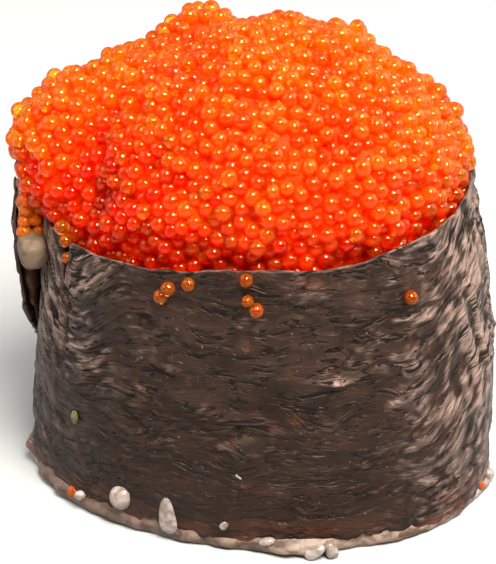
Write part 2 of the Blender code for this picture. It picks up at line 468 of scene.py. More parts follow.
@dataclass(frozen=True)
class NoriFinish:
    """Seaweed gone soft: brown-black and fibrous, with red-brown patches and pale specks. Its black creases
    and darkened hollows are painted shade, and its lighter ridges and threads, strongest at the corners, are
    painted sheen.

    Lengths along and across the strip are in millimetres.
    """

    dark: Colour = (0.0078, 0.0034, 0.0022)
    mid: Colour = (0.0262, 0.0131, 0.0088)
    # Light brown-grey painted sheen on ridges, standing in for the gloss of light on the wrinkled corners.
    painted_sheen: Colour = (0.270, 0.180, 0.145)
    brown: Colour = (0.072, 0.021, 0.011)
    # Near black painted shade for crease lines and hollows.
    crease: Colour = (0.002, 0.0015, 0.0015)
    speck: Colour = (0.22, 0.17, 0.145)
    sheen: float = 0.24
    sheen_tint: Colour = (1.0, 0.74, 0.60)
    relief_depth: float = 0.3

    def strokes(
        self, tree: NodeSketch, flow: bpy.types.NodeSocket, length: float, width: float, seed: float
    ) -> bpy.types.NodeSocket:
        """Adds short wavy lines along the strip.

        Args:
            tree: The material's nodes.
            flow: The place along and across the flow of the fibres, in millimetres.
            length: How long the lines run before they wander off.
            width: How far apart they lie.
            seed: A shift that gives other lines.

        Returns:
            1 on a line and 0 off it.
        """
        cells = (1.0 / length, 1.0 / width, 1.0)
        line = tree.noise(flow, cells, detail=2.5, distortion=0.9, shift=seed)
        gaps = (1.6 / length, 0.7 / width, 1.0)
        where = tree.noise(flow, gaps, detail=2.0, distortion=0.4, shift=seed + 9.0)
        near = tree.span(tree.distance(line, 0.5), 0.054, 0.022)
        return tree.product(near, tree.span(where, 0.53, 0.58))

    def build(self) -> bpy.types.Material:
        """Makes the material from noise along the strip and from the relief of the sheet.

        Returns:
            The material.
        """
        made = bpy.data.materials.new("nori_finish")
        made.use_nodes = True
        tree = NodeSketch(made)
        uv = tree.add("ShaderNodeUVMap")
        uv.uv_map = "strip"
        flat = uv.outputs["UV"]
        flowing = tree.add("ShaderNodeUVMap")
        flowing.uv_map = "flow"
        flow = flowing.outputs["UV"]
        ridge = tree.add("ShaderNodeAttribute")
        ridge.attribute_name = "ridge"
        mottle = tree.noise(flat, (0.16, 0.34, 1.0), detail=6.0, distortion=0.8)
        fibre = tree.noise(flow, (0.65, 2.0, 1.0), detail=6.0, distortion=1.1)
        patch = tree.noise(flat, (0.22, 0.42, 1.0), detail=5.0, distortion=0.8, shift=31.0)
        grain = tree.noise(flat, (1.5, 2.1, 1.0), detail=3.0, distortion=0.5, shift=63.0)
        parts = tree.add("ShaderNodeSeparateXYZ")
        tree.links.new(flat, parts.inputs["Vector"])
        height = parts.outputs["Y"]
        # Random mottle between the dark and mid browns, with painted shade that darkens it towards the
        # bottom.
        lit = tree.product(tree.span(mottle, 0.40, 0.62), tree.span(height, 2.0, 26.0, 0.15, 1.0))
        base = tree.mix(lit, self.dark, self.mid)
        # Painted sheen: ridges lighten towards the painted sheen colour, most of all at the two corners and
        # on the inner face.
        raised = tree.product(tree.span(ridge.outputs["Fac"], 0.5, 1.0), tree.span(fibre, 0.30, 0.66))
        painted_sheen = tree.mix(raised, base, self.painted_sheen)
        thin = tree.product(tree.span(patch, 0.60, 0.70), tree.span(fibre, 0.40, 0.62))
        hem = tree.product(tree.span(height, 5.0, 1.2), tree.span(mottle, 0.42, 0.60))
        stained = tree.mix(tree.product(tree.maths("MAXIMUM", thin, hem), 0.8), painted_sheen, self.brown)
        dotted = tree.mix(tree.product(tree.span(grain, 0.69, 0.76), 0.6), stained, self.speck)
        # Painted sheen: thin light threads along the fibres on ridges.
        thread_lines = self.strokes(tree, flow, 5.0, 0.6, 23.0)
        threads = tree.product(thread_lines, tree.span(ridge.outputs["Fac"], 0.46, 0.72, 0.05, 0.6))
        threaded = tree.mix(threads, dotted, self.painted_sheen)
        long_lines = self.strokes(tree, flow, 8.0, 1.5, 57.0)
        short_lines = self.strokes(tree, flow, 4.0, 0.8, 91.0)
        lines = tree.maths("MAXIMUM", long_lines, short_lines)
        # Painted shade: crease lines, and the hollows of the relief, are darkened towards the crease colour.
        creased = tree.product(lines, tree.span(height, 4.0, 20.0, 0.45, 1.0))
        hollow = tree.span(ridge.outputs["Fac"], 0.42, 0.12)
        dark = tree.maths("MAXIMUM", creased, tree.product(hollow, 0.65))
        tree.link(tree.mix(dark, threaded, self.crease), "Base Color")
        rough = tree.span(fibre, 0.25, 0.8, 0.36, 0.66)
        tree.link(tree.maths("MAXIMUM", rough, tree.product(dark, 0.9)), "Roughness")
        tree.dress({"Specular IOR Level": self.sheen, "Specular Tint": (*self.sheen_tint, 1.0)})
        raised_fibre = tree.product(fibre, tree.span(mottle, 0.40, 0.60, 0.35, 1.0))
        fine = tree.bump(raised_fibre, 0.55, self.relief_depth * MM)
        tree.link(tree.bump(creased, -0.8, self.relief_depth * MM, fine), "Normal")
        return made


@dataclass(frozen=True)
class RiceFinish:
    """Moist cooked rice, or another soft bit: clouded and a little translucent.

    Where shaded holds two distances from the middle, in metres along X, the finish darkens from the second
    to the first. The default ones lie beyond the food, and so shade nothing.
    """

    name: str
    pale: Colour
    shade: Colour
    glow: float = 0.4
    roughness: float = 0.45
    gloss: float = 0.4
    shaded: tuple[float, float] = (-1.0, -0.9)
    shaded_light: float = 0.35
    cloud_cells: tuple[float, float, float] = (640.0, 640.0, 800.0)
    spread: Colour = (1.0, 0.8, 0.6)
    spread_depth: float = 1.2
    relief_depth: float = 0.3

    def build(self) -> bpy.types.Material:
        """Makes the material with its cloudy shade.

        Returns:
            The material.
        """
        made = bpy.data.materials.new(self.name)
        made.use_nodes = True
        tree = NodeSketch(made)
        place = tree.add("ShaderNodeTexCoord").outputs["Object"]
        cloud = tree.noise(place, self.cloud_cells, detail=4.0, distortion=0.6)
        parts = tree.add("ShaderNodeSeparateXYZ")
        tree.links.new(place, parts.inputs["Vector"])
        light = tree.span(parts.outputs["X"], *self.shaded, self.shaded_light, 1.0)
        lit = tree.product(tree.span(cloud, 0.38, 0.60), light)
        tree.link(tree.mix(lit, self.shade, self.pale), "Base Color")
        tree.dress(
            {
                "Roughness": self.roughness,
                "Specular IOR Level": self.gloss,
                "Subsurface Weight": self.glow,
                "Subsurface Radius": self.spread,
                "Subsurface Scale": self.spread_depth * MM,
            }
        )
        tree.link(tree.bump(cloud, 0.4, self.relief_depth * MM), "Normal")
        return made


def way_to(azimuth: Array, elevation: Array) -> Array:
    """Unit vectors towards directions given in degrees."""
    a, e = np.radians(azimuth), np.radians(elevation)
    return np.stack([np.cos(e) * np.cos(a), np.cos(e) * np.sin(a), np.sin(e)], axis=-1)


def swell(way: Array, lobes: Sequence[tuple[float, float, float, float]]) -> Array:
    """Adds up round swellings over a ball.

    Args:
        way: Unit vectors.
        lobes: Azimuth, elevation, height and spread of each swelling, in degrees and millimetres.

    Returns:
        The height in each direction.
    """
    total = np.zeros(len(way))
    for azimuth, elevation, height, spread in lobes:
        middle = way_to(np.array(azimuth), np.array(elevation))
        apart = np.degrees(np.arccos(np.clip(way @ middle, -1.0, 1.0)))
        total += height * np.exp(-0.5 * (apart / spread) ** 2)
    return total


@dataclass
class HeapShape:
    """The outline of the heap of roe, as a radius in each direction from the middle of the rim."""

    plan: WrapPlan
    half_length: float = 23.7
    half_depth: float = 18.5
    height: float = 18.9
    clump_height: float = 1.25
    clump_length: float = 5.0
    crease_depth: float = 0.6
    crease_width: float = 0.3
    lobes: Sequence[tuple[float, float, float, float]] = (
        (170.0, 17.0, 4.4, 11.0),
        (182.0, 3.0, 3.4, 11.0),
        (160.0, 27.0, -1.2, 5.0),
        (192.0, 32.0, -1.1, 6.0),
        (201.0, 18.0, -1.2, 6.0),
        (204.0, 4.0, -1.0, 6.0),
        (127.0, 52.0, 2.6, 7.0),
        (104.0, 56.0, -0.8, 5.0),
        (60.0, 54.0, -0.6, 5.0),
        (45.0, 49.0, 1.7, 6.0),
        (8.0, 14.0, 0.9, 12.0),
        (322.0, 24.0, 1.1, 13.0),
        (276.0, 16.0, 0.9, 12.0),
        (236.0, 14.0, 0.6, 12.0),
    )
    lowest: float = -24.0
    step: float = 1.5
    table: Array = field(init=False)

    def __post_init__(self) -> None:
        """Works the outline out once, on a grid of directions."""
        azimuth = np.arange(0.0, 360.0, self.step)
        elevation = np.arange(self.lowest, 90.0 + self.step, self.step)
        grid_a, grid_e = np.meshgrid(azimuth, elevation, indexing="ij")
        self.table = self.measure(grid_a.ravel(), grid_e.ravel()).reshape(grid_a.shape)

    @property
    def centre(self) -> Array:
        """The middle of the rim, in millimetres."""
        x, y = self.plan.centre(np.array(self.plan.rim_level))
        return np.array([x, y, self.plan.rim_level])

    def measure(self, azimuth: Array, elevation: Array) -> Array:
        """Works the heap's radius out from its dome, lobes and clumps.

        Args:
            azimuth: Directions round Z, in degrees.
            elevation: Directions above the rim, in degrees.

        Returns:
            The radius in each direction, in millimetres.
        """
        a, e = np.radians(azimuth), np.radians(elevation)
        turned = a - math.radians(self.plan.rim_turn)
        along = np.cos(e) * np.cos(turned) / self.half_length
        across = np.cos(e) * np.sin(turned) / self.half_depth
        radius = 1.0 / np.sqrt(along**2 + across**2 + (np.sin(e) / self.height) ** 2)
        way = way_to(azimuth, elevation)
        radius = radius + swell(way, self.lobes)
        at = way * radius[:, None]
        radius = radius + self.clump_height * noise_at(at / self.clump_length)
        return radius - self.crease_depth * self.clump_height * self.creased(at)

    def creased(self, at: Array) -> Array:
        """How far points, counted from the rim's middle, lie in a crease between clumps, from 0 to 1."""
        pattern = np.abs(noise_at(at / (0.8 * self.clump_length), seed=3.0))
        return 1.0 - np.minimum(pattern, self.crease_width) / self.crease_width

    def radius(self, azimuth: Array, elevation: Array) -> Array:
        """Reads the radius from the grid, between its directions.

        Args:
            azimuth: Directions round Z, in degrees.
            elevation: Directions above the rim, in degrees.

        Returns:
            The radius in each direction, in millimetres.
        """
        u = np.mod(azimuth, 360.0) / self.step
        v = np.clip((elevation - self.lowest) / self.step, 0.0, self.table.shape[1] - 1.001)
        i, j = u.astype(int), v.astype(int)
        fu, fv = u - i, v - j
        k = (i + 1) % self.table.shape[0]
        i = i % self.table.shape[0]
        low = self.table[i, j] * (1.0 - fu) + self.table[k, j] * fu
        high = self.table[i, j + 1] * (1.0 - fu) + self.table[k, j + 1] * fu
        return low * (1.0 - fv) + high * fv

    def directions(self, points: Array) -> tuple[Array, Array, Array]:
        """Finds where points lie as seen from the middle of the rim.

        Args:
            points: Rows of x, y and z.

        Returns:
            Their azimuths, their elevations and their distances.
        """
        away = points - self.centre
        distance = np.linalg.norm(away, axis=1)
        azimuth = np.degrees(np.arctan2(away[:, 1], away[:, 0]))
        elevation = np.degrees(np.arcsin(np.clip(away[:, 2] / distance, -1.0, 1.0)))
        return azimuth, elevation, distance


@dataclass
class RoeHeap:
    """The heap of single eggs over a smaller core.

    The tones are places, as azimuth, elevation, tone and spread, where the eggs are painted brighter, as
    painted light, or, below zero, redder, as painted shade.
    """

    plan: WrapPlan
    shape: HeapShape
    egg_radius: float = 0.95
    radius_spread: float = 0.06
    layer_depth: float = 2.6
    fill: float = 0.76
    seat_depth: float = 3.4
    rounds: int = 70
    closeness: float = 0.9
    sink: float = 0.75
    core_drop: float = 1.5
    lowest: float = -11.0
    draws: int = 20000
    push_share: float = 0.42
    spare_eggs: float = 1.1
    buried_depth: float = 0.8
    core_rings: int = 44
    core_columns: int = 120
    core_lowest: float = -12.0
    # The height, depth, crease and seat tones paint light and shade: brighter high up, redder deep down, in
    # creases and at the seat. The chance and cloud tones are random.
    height_tone: float = 0.28
    depth_tone: float = -0.25
    chance_tone: float = 0.08
    cloud_tone: float = 0.35
    cloud_length: float = 6.0
    crease_tone: float = -0.4
    seat_tone: float = -0.6
    seat_height: float = 0.22
    tones: Sequence[tuple[float, float, float, float]] = (
        (172.0, 18.0, 0.75, 15.0),
        (200.0, 18.0, -0.60, 9.0),
        (224.0, 16.0, -0.50, 17.0),
        (352.0, 25.0, 0.35, 22.0),
        (42.0, 46.0, 0.45, 16.0),
        (125.0, 50.0, 0.35, 14.0),
    )
    seed: int = 11

    def confine(self, eggs: Array, radii: Array, sunk: Array) -> Array:
        """Keeps eggs in the layer under the heap's outline and clear of the seaweed.

        Args:
            eggs: Their centres.
            radii: Their radii.
            sunk: How far under the outline each must stay at least.

        Returns:
            The centres moved back inside.
        """
        azimuth, elevation, distance = self.shape.directions(eggs)
        outer = self.shape.radius(azimuth, elevation) - radii - sunk
        held = np.clip(distance, outer - self.layer_depth, outer)
        eggs = self.shape.centre + (eggs - self.shape.centre) * (held / distance)[:, None]
        angle = self.plan.angle_of(eggs)
        below = eggs[:, 2] < self.plan.rim(angle) + 0.9 * radii
        x, y = self.plan.centre(eggs[:, 2])
        ring = np.hypot(eggs[:, 0] - x, eggs[:, 1] - y)
        room = self.plan.radius(angle, eggs[:, 2]) - radii - 0.1
        share = np.where(below & (ring > room), room / np.maximum(ring, 1e-6), 1.0)
        eggs[:, 0] = x + (eggs[:, 0] - x) * share
        eggs[:, 1] = y + (eggs[:, 1] - y) * share
        lowest = self.plan.rim_plane(eggs[:, 0], eggs[:, 1]) - self.seat_depth
        eggs[:, 2] = np.maximum(eggs[:, 2], lowest)
        return eggs

    def pack(self) -> tuple[Array, Array]:
        """Packs eggs by pushing overlapping ones apart.

        Returns:
            The eggs' centres and their radii.
        """
        rng = np.random.default_rng(self.seed)
        azimuth = rng.uniform(0.0, 360.0, self.draws)
        low = math.sin(math.radians(self.lowest))
        elevation = np.degrees(np.arcsin(rng.uniform(low, 1.0, self.draws)))
        square = self.shape.radius(azimuth, elevation) ** 2
        area = 2.0 * math.pi * (1.0 - low) * square.mean() * self.spare_eggs
        egg_volume = BALL_VOLUME * self.egg_radius**3
        wanted = int(area * (self.layer_depth + self.egg_radius) * self.fill / egg_volume)
        kept = np.flatnonzero(rng.uniform(0.0, square.max(), self.draws) < square)[:wanted]
        azimuth, elevation = azimuth[kept], elevation[kept]
        count = len(kept)
        radii = self.egg_radius * (1.0 + self.radius_spread * rng.standard_normal(count).clip(-2.5, 2.0))
        way = way_to(azimuth, elevation)
        depth = self.layer_depth * rng.uniform(0.0, 1.0, count)
        reach = self.shape.radius(azimuth, elevation) - radii - depth
        sunk = self.sink * (1.25 * rng.uniform(0.0, 1.0, count) ** 1.6 - 0.25)
        eggs = self.confine(self.shape.centre + way * reach[:, None], radii, sunk)
        for turn in range(self.rounds):
            if turn % 5 == 0:
                near, far = self.neighbours(eggs)
            apart = eggs[far] - eggs[near]
            gap = np.linalg.norm(apart, axis=1)
            push = np.maximum(0.0, self.closeness * (radii[near] + radii[far]) - gap) / np.maximum(gap, 1e-6)
            move = apart * (self.push_share * push)[:, None]
            shift = np.zeros_like(eggs)
            np.add.at(shift, far, move)
            np.add.at(shift, near, -move)
            eggs = self.confine(eggs + shift, radii, sunk)
        return eggs, radii

    def neighbours(self, eggs: Array) -> tuple[Array, Array]:
        """Finds the pairs of eggs that lie close together.

        Args:
            eggs: Their centres.

        Returns:
            The numbers of the first and of the second egg of each pair.
        """
        tree = kdtree.KDTree(len(eggs))
        for i, egg in enumerate(eggs):
            tree.insert(egg, i)
        tree.balance()
        reach = 2.7 * self.egg_radius
        pairs = [(i, j) for i, egg in enumerate(eggs) for _, j, _ in tree.find_range(egg, reach) if j > i]
        near, far = np.array(pairs, int).T
        return near, far

    def tone(self, eggs: Array, depth: Array, rng: np.random.Generator) -> Array:
        """Ranks eggs from red ones, deep, low or in a crease, to bright ones near the crest: painted shade
        and painted light, with some random tone.

        Args:
            eggs: Their centres.
            depth: How far under the heap's outline each lies.
            rng: Draws a little of it.

        Returns:
            A value for each, of which only the order counts.
        """
        azimuth, elevation, _ = self.shape.directions(eggs)
        height = np.sin(np.radians(elevation))
        tone = self.height_tone * height + self.depth_tone * depth
        tone = tone + self.chance_tone * rng.standard_normal(len(eggs))
        tone = tone + self.cloud_tone * noise_at(eggs / self.cloud_length, seed=2.0)
        tone = tone + swell(way_to(azimuth, elevation), self.tones)
        tone = tone + self.crease_tone * self.shape.creased(eggs - self.shape.centre)
        return tone + self.seat_tone * smooth_step(1.0 - height / self.seat_height)

    def build(self, finishes: dict[Shade, bpy.types.Material]) -> None:
        """Makes the eggs, one piece for each shade, and the core that they lie on.

        Args:
            finishes: A material for each shade.
        """
        eggs, radii = self.pack()
        azimuth, elevation, distance = self.shape.directions(eggs)
        depth = self.shape.radius(azimuth, elevation) - radii - distance
        seen = depth < self.core_drop + 0.3
        eggs, radii, depth = eggs[seen], radii[seen], depth[seen]
        rng = np.random.default_rng(self.seed + 1)
        tone = self.tone(eggs, depth, rng)
        order = np.argsort(np.argsort(tone)) * len(Shade) // len(eggs)
        for number, shade in enumerate(Shade):
            chosen = order == number
            # Random tone for each egg, with painted shade that darkens the deeper ones.
            shades = np.clip(0.5 + 0.3 * rng.standard_normal(chosen.sum()) - 0.2 * depth[chosen], 0.0, 1.0)
            buried = depth[chosen] > self.buried_depth
            name, finish = f"roe_{shade.value}", finishes[shade]
            settle(egg_cluster(name, eggs[chosen], radii[chosen], shades, finish, rng, buried), "roe")
        bright, deep = (0.85, 0.045, 0.001), (0.75, 0.03, 0.001)
        core = EggFinish("roe_core_finish", bright, deep, clearness=0.0, roughness=0.5, gloss=0.1)
        self.build_core(core.build())

    def build_core(self, finish: bpy.types.Material) -> None:
        """Makes the core under the eggs.

        Args:
            finish: The core's material.
        """
        azimuth = np.arange(self.core_columns) * 360.0 / self.core_columns
        rings = []
        for i in range(self.core_rings):
            share = i / (self.core_rings - 1)
            elevation = np.full(self.core_columns, self.core_lowest + (90.0 - self.core_lowest) * share)
            reach = self.shape.radius(azimuth, elevation) - self.core_drop
            rings.append(self.shape.centre + way_to(azimuth, elevation) * reach[:, None])
        core = mesh_object("roe_core", *closed_rings(rings), finish)
        settle(core, "roe", "roe")


def closed_rings(rings: Sequence[Array]) -> tuple[Array, Array]:
    """Closes a stack of rings into a solid.

    Args:
        rings: Rings of equally many points, from the lowest up.

    Returns:
        Its vertices and triangles, with a point in the middle of each end.
    """
    columns = len(rings[0])
    points = np.concatenate([*rings, rings[0].mean(axis=0)[None], rings[-1].mean(axis=0)[None]])
    here = np.arange(columns)
    there = (here + 1) % columns
    faces = []
    for i in range(len(rings) - 1):
        low, high = i * columns, (i + 1) * columns
        faces.append(np.stack([low + here, low + there, high + there], axis=1))
        faces.append(np.stack([low + here, high + there, high + here], axis=1))
    base, top = len(points) - 2, len(points) - 1
    last = (len(rings) - 1) * columns
    faces.append(np.stack([there, here, np.full(columns, base)], axis=1))
    faces.append(np.stack([last + here, last + there, np.full(columns, top)], axis=1))
    return points, np.concatenate(faces)


def grid_faces(grid: Array) -> Array:
    """Joins the neighbouring vertices of a grid.

    Args:
        grid: Vertex numbers, as rows and columns.

    Returns:
        The triangles between them.
    """
    a, b = grid[:-1, :-1].ravel(), grid[1:, :-1].ravel()
    c, d = grid[1:, 1:].ravel(), grid[:-1, 1:].ravel()
    return np.concatenate([np.stack([a, b, c], axis=1), np.stack([a, c, d], axis=1)])


def stitched(fine: Array, coarse: Array) -> Array:
    """Joins an edge to one with half as many steps.

    Args:
        fine: Vertex numbers along the first edge.
        coarse: Vertex numbers along the second edge, one for every other number of the first.

    Returns:
        The triangles between them.
    """
    k, n = coarse[:-1], coarse[1:]
    first, middle, last = fine[:-2:2], fine[1:-1:2], fine[2::2]
    corners = ((k, middle, first), (k, n, middle), (n, last, middle))
    return np.concatenate([np.stack(corner, axis=1) for corner in corners])


def ball(subdivisions: int) -> tuple[Array, Array]:
    """A unit ball of even triangles.

    Args:
        subdivisions: How fine it is.

    Returns:
        Its vertices and triangles.
    """
    made = bmesh.new()
    bmesh.ops.create_icosphere(made, subdivisions=subdivisions, radius=1.0)
    made.verts.ensure_lookup_table()
    points = np.array([v.co[:] for v in made.verts])
    faces = np.array([[v.index for v in f.verts] for f in made.faces])
    made.free()
    return points, faces


def egg_cluster(
    name: str,
    centres: Array,
    radii: Array,
    shades: Array,
    finish: bpy.types.Material,
    rng: np.random.Generator,
    buried: Array,
) -> bpy.types.Object:
    """Joins single eggs into one piece.

    Args:
        name: The piece's name.
        centres: Where the eggs lie.
        radii: Their radii.
        shades: From 0 for a deep egg to 1 for a bright one.
        finish: Their material.
        rng: Draws how far each egg is from round.
        buried: Which eggs are nearly hidden, and so are made coarser.

    Returns:
        The piece.
    """
    squash = 1.0 + 0.045 * rng.standard_normal((len(centres), 1, 3)).clip(-2.0, 2.0)
    points, faces, tones = [], [], []
    start = 0
    for chosen, subdivisions in ((~buried, 3), (buried, 2)):
        ball_points, ball_faces = ball(subdivisions)
        group = centres[chosen][:, None] + ball_points[None] * radii[chosen][:, None, None] * squash[chosen]
        numbers = start + np.arange(chosen.sum()) * len(ball_points)
        points.append(group.reshape(-1, 3))
        faces.append((ball_faces[None] + numbers[:, None, None]).reshape(-1, 3))
        tones.append(np.repeat(shades[chosen], len(ball_points)))
        start += len(points[-1])
    piece = mesh_object(name, np.concatenate(points), np.concatenate(faces), finish)
    attribute = piece.data.attributes.new("egg_shade", "FLOAT", "POINT")
    attribute.data.foreach_set("value", np.concatenate(tones).astype(np.float32))
    return piece


@dataclass
class SeaweedStrip:
    """The wrinkled strip, once round the rice and lapped at the left, where its end opens outward.

    The marks are flakes, a dent and a knob. Each has an angle, a height, a half length, a half height and the
    distance that it stands out.
    """

    plan: WrapPlan
    start: float = 150.0
    end: float = 548.0
    end_slant: float = 20.0
    lap_start: float = 455.0
    lap_offset: float = 0.55
    flap_start: float = 500.0
    flap_flare: float = 2.9
    flap_foot: float = 4.0
    thickness: float = 0.3
    marks: Sequence[tuple[float, float, float, float, float]] = (
        (299.5, 22.0, 1.5, 0.25, 1.0),
        (318.0, 18.4, 1.6, 0.9, 0.35),
        (278.0, 18.4, 1.5, 0.7, -0.35),
        (193.0, 2.0, 1.4, 1.2, 1.7),
        (326.0, 27.5, 2.2, 0.5, 0.4),
    )
    tear_angle: float = 209.0
    tear_half_width: float = 2.2
    tear_depth: float = 5.5
    columns: int = 520
    rows: int = 140

    def offset(self, angle: Array, height: Array) -> Array:
        """Measures how far the strip stands out from its first turn.

        Args:
            angle: Angles along the strip.
            height: Heights above the floor.

        Returns:
            The distance at each, which grows along the lap and up the loose end.
        """
        lap = self.lap_offset * smooth_step((angle - self.lap_start) / (self.start + 360.0 - self.lap_start))
        along = smooth_step((angle - self.flap_start) / (self.end - self.flap_start))
        up = smooth_step((height - self.flap_foot) / (self.plan.rim_level - self.flap_foot))
        return lap + self.flap_flare * along * up

    def slant(self, share: Array) -> Array:
        """How far the loose end is cut back at a share of the strip's width."""
        return self.end_slant * (1.0 - smooth_step((share - 0.1) / 0.6))

    def end_angle(self, height: Array) -> Array:
        """The angle at which the loose end stands at a height."""
        width = self.plan.rim_level - self.plan.hem_level
        return self.end - self.slant((height - self.plan.hem_level) / width)

    def region(self, angle: Array, middle: float, reach: float) -> Array:
        """How far a point lies in a region of the wrap, from 0 at its ends to 1 in its middle."""
        return smooth_step(1.0 - np.abs(turned_from(angle, middle)) / reach)

    def relief(self, along: Array, height: Array, angle: Array) -> tuple[Array, Array, Array]:
        """Wrinkles of the sheet, slanted up at its right corner and down at its left one.

        Args:
            along: Distance along the strip.
            height: Height above the floor.
            angle: Polar angle.

        Returns:
            How far each point stands out; its share of the way from the hollows to the ridges, raised at the
            two corners and in rough patches, which places painted sheen on ridges and painted shade in
            hollows; and its height across the flow of the fibres.
        """
        right = self.region(angle, 347.0, 36.0) * (0.5 + 0.5 * smooth_step((height - 4.0) / 16.0))
        left = self.region(angle, 205.0, 26.0) * (0.15 + 0.85 * smooth_step((height - 14.0) / 9.0))
        warp = strip_noise(along / 9.0, height / 7.0, 1.0)
        slope = 0.7 * left * np.interp(angle, (180.0, 230.0), (-5.0, 17.0))
        slope = slope - 0.7 * right * np.interp(angle, (296.0, 376.0), (-14.0, 18.0))
        swirl = strip_noise(along / 3.6, height / 3.2, 2.0)
        drift = height + (1.5 + 0.8 * right) * warp + 0.7 * swirl + slope * smooth_step(height / 16.0)
        broad = strip_noise(along / 12.0, drift / 6.0, 4.0)
        folds = strip_noise(along / 4.4, drift / 1.8, 5.0)
        across = along + 0.3 * height + 1.4 * warp + 0.6 * swirl
        upright = strip_noise(across / 1.7, height / 7.5, 16.0)
        folds = folds + right * (1.3 * upright - 0.6 * folds)
        fine = strip_noise(along / 1.3, drift / 0.75, 6.0)
        furrow = strip_noise(along / 4.0, drift / 1.5, 15.0)
        valley = np.exp(-((furrow / 0.06) ** 2)) * (1.0 - 0.6 * right)
        patch = smooth_step(0.45 + 1.3 * strip_noise(along / 10.0, height / 8.0, 7.0))
        rough = np.clip(0.25 + 0.75 * patch + 0.9 * right + 0.6 * left, 0.0, 1.5)
        wrinkled = 0.28 * folds + (0.15 - 0.05 * right) * fine - 0.24 * valley
        # Where ridges get painted sheen: at the right and left corners, and in rough patches higher up.
        painted_sheen = 0.02 + 0.14 * patch * smooth_step((height - 6.0) / 14.0) + 0.9 * right + 0.75 * left
        crest = 0.34 + 0.06 * right + 0.8 * folds + (1.2 - 0.5 * right) * fine
        ridge = 0.46 + painted_sheen * crest - 0.5 * rough * valley
        marks = self.marked(angle, height)
        return 0.40 * broad + rough * wrinkled + marks, np.clip(ridge + 0.6 * marks, 0.0, 1.0), drift

    def marked(self, angle: Array, height: Array) -> Array:
        """Adds up the strip's marks.

        Args:
            angle: Polar angles.
            height: Heights above the floor.

        Returns:
            How far they stand out at each.
        """
        rise = np.zeros_like(height)
        for middle, level, half_length, half_height, out in self.marks:
            along = np.radians(turned_from(angle, middle)) * self.plan.radius(angle, height)
            rise = rise + out * np.exp(-((along / half_length) ** 2) - ((height - level) / half_height) ** 2)
        return rise

    def build(self, finish: bpy.types.Material) -> None:
        """Makes the strip with an outer face and a coarser inner one.

        Args:
            finish: The seaweed's material.
        """
        angle = np.linspace(self.start, self.end, self.columns + 1)
        middle = self.plan.point(angle, np.full_like(angle, 18.0), np.zeros_like(angle))
        along = np.concatenate([[0.0], np.cumsum(np.linalg.norm(np.diff(middle, axis=0), axis=1))])
        ragged = strip_noise(along / 2.6, 0.0 * along, 8.0)
        torn = strip_noise(along / 0.9, 0.0 * along, 9.0)
        hem = self.plan.hem(angle) + 1.2 * ragged + 1.1 * torn
        rim = self.plan.rim(angle) + 0.25 * ragged + 0.12 * torn
        from_tear = np.abs(angle - self.tear_angle)
        rim = rim - self.tear_depth * np.clip(1.0 - from_tear / self.tear_half_width, 0.0, 1.0)
        share = np.linspace(0.0, 1.0, self.rows + 1)
        slant = self.slant(share)[None]
        grid_angle = angle[:, None] - slant * smooth_step((angle - self.flap_start + 20.0) / 68.0)[:, None]
        grid_along = np.interp(grid_angle, angle, along)
        height = hem[:, None] + (rim - hem)[:, None] * share[None]
        relief, ridge, drift = self.relief(grid_along.ravel(), height.ravel(), grid_angle.ravel())
        edge = smooth_step(np.minimum(share, 1.0 - share) * 14.0)[None]
        relief = relief.reshape(height.shape) * (0.35 + 0.65 * edge)
        inside = self.offset(grid_angle, height)
        outer = self.plan.point(grid_angle, height, inside + self.thickness + relief)
        inner = self.plan.point(grid_angle, height, inside + 0.5 * relief - 0.05)[::2, ::2]
        flat = np.stack([grid_along, height], axis=-1)
        points = np.concatenate([outer.reshape(-1, 3), inner.reshape(-1, 3)])
        piece = mesh_object("nori_strip", points, self.closed_sheet(), finish)
        flow = np.stack([grid_along, drift.reshape(height.shape)], axis=-1)
        corners = np.zeros(len(piece.data.loops), np.int32)
        piece.data.loops.foreach_get("vertex_index", corners)
        for name, outer_places in (("strip", flat), ("flow", flow)):
            places = np.concatenate([outer_places.reshape(-1, 2), flat[::2, ::2].reshape(-1, 2)])
            layer = piece.data.uv_layers.new(name=name)
            layer.data.foreach_set("uv", places[corners].astype(np.float32).ravel())
        # The inner face counts as all ridge, so the finish paints it in the lighter painted sheen colour:
        # painted light seen through the thin sheet.
        ridges = np.concatenate([ridge, np.ones(inner.shape[0] * inner.shape[1])])
        attribute = piece.data.attributes.new("ridge", "FLOAT", "POINT")
        attribute.data.foreach_set("value", ridges.astype(np.float32))
        settle(piece, "nori", "nori")

    def closed_sheet(self) -> Array:
        """Joins the fine outer face, the coarse inner face and the edges between them.

        Returns:
            The triangles of the closed strip.
        """
        fine = np.arange((self.columns + 1) * (self.rows + 1)).reshape(self.columns + 1, self.rows + 1)
        half = (self.columns // 2 + 1, self.rows // 2 + 1)
        coarse = fine.size + np.arange(half[0] * half[1]).reshape(half)
        faces = [grid_faces(fine), grid_faces(coarse)[:, ::-1]]
        faces.append(stitched(fine[:, 0], coarse[:, 0]))
        faces.append(stitched(fine[:, -1], coarse[:, -1])[:, ::-1])
        faces.append(stitched(fine[0], coarse[0])[:, ::-1])
        faces.append(stitched(fine[-1], coarse[-1]))
        return np.concatenate(faces)


